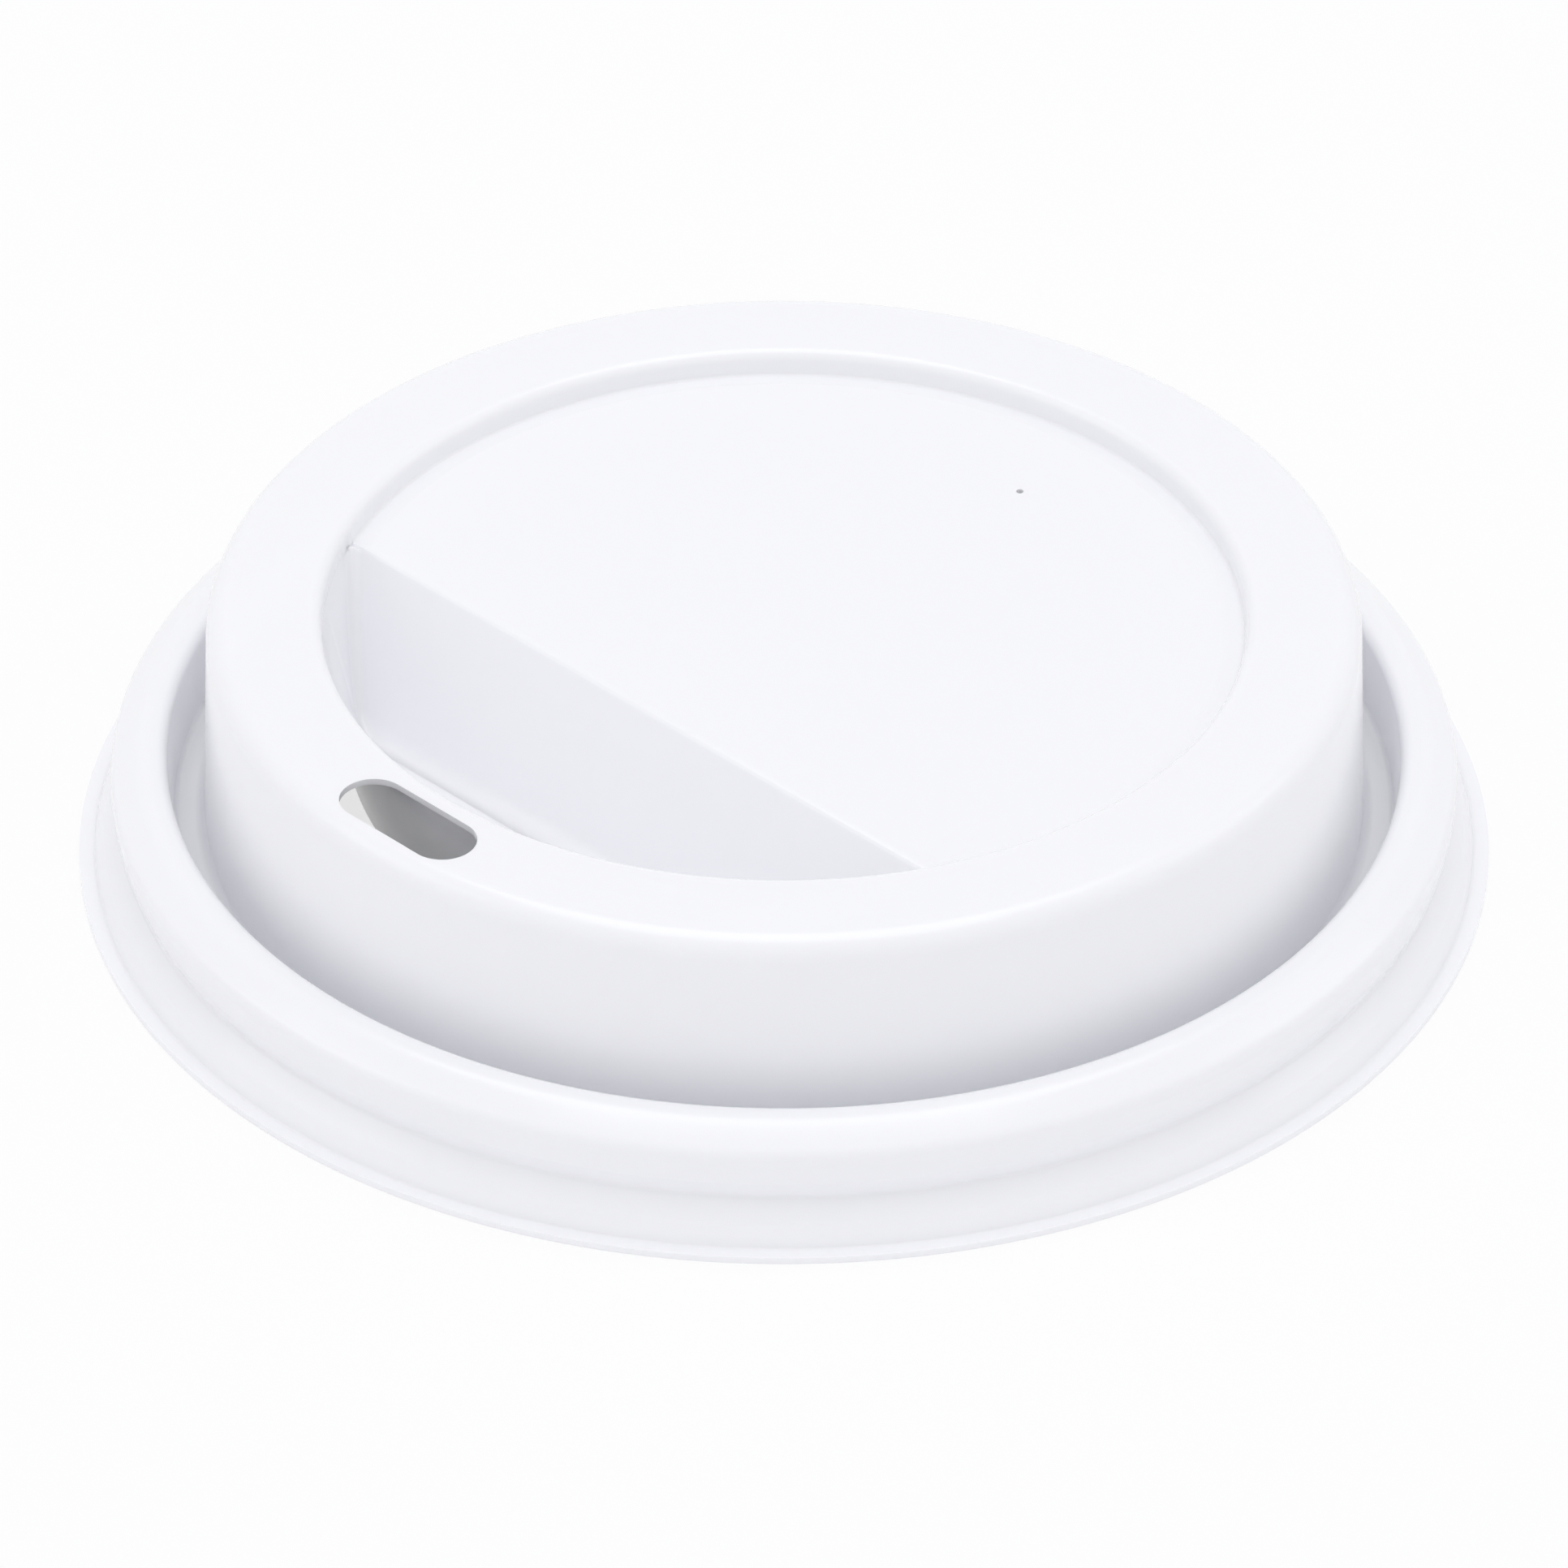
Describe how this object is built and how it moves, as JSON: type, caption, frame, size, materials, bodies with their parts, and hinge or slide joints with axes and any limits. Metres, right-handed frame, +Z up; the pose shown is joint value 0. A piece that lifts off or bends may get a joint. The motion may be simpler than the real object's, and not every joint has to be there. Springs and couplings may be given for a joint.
{
  "type": "coffee cup lid",
  "caption": "Sip-through dome lid formed from one thin white plastic sheet: raised drinking ring with an oval sip hole, recessed panel, deep lip well, snap bead and flange.",
  "frame": {"origin": "centre of the flange's underside, on the lid's axis: the point under the middle of the lid where it rests", "axes": "+Z up along the lid's axis, -Y towards the sip hole, +X to the right of someone who drinks from it"},
  "size_m": [0.094, 0.094, 0.0187],
  "materials": {
    "white_plastic": "smooth white polystyrene with a soft gloss"
  },
  "bodies": {
    "root": {"lid": "white_plastic"}
  },
  "joints": []
}
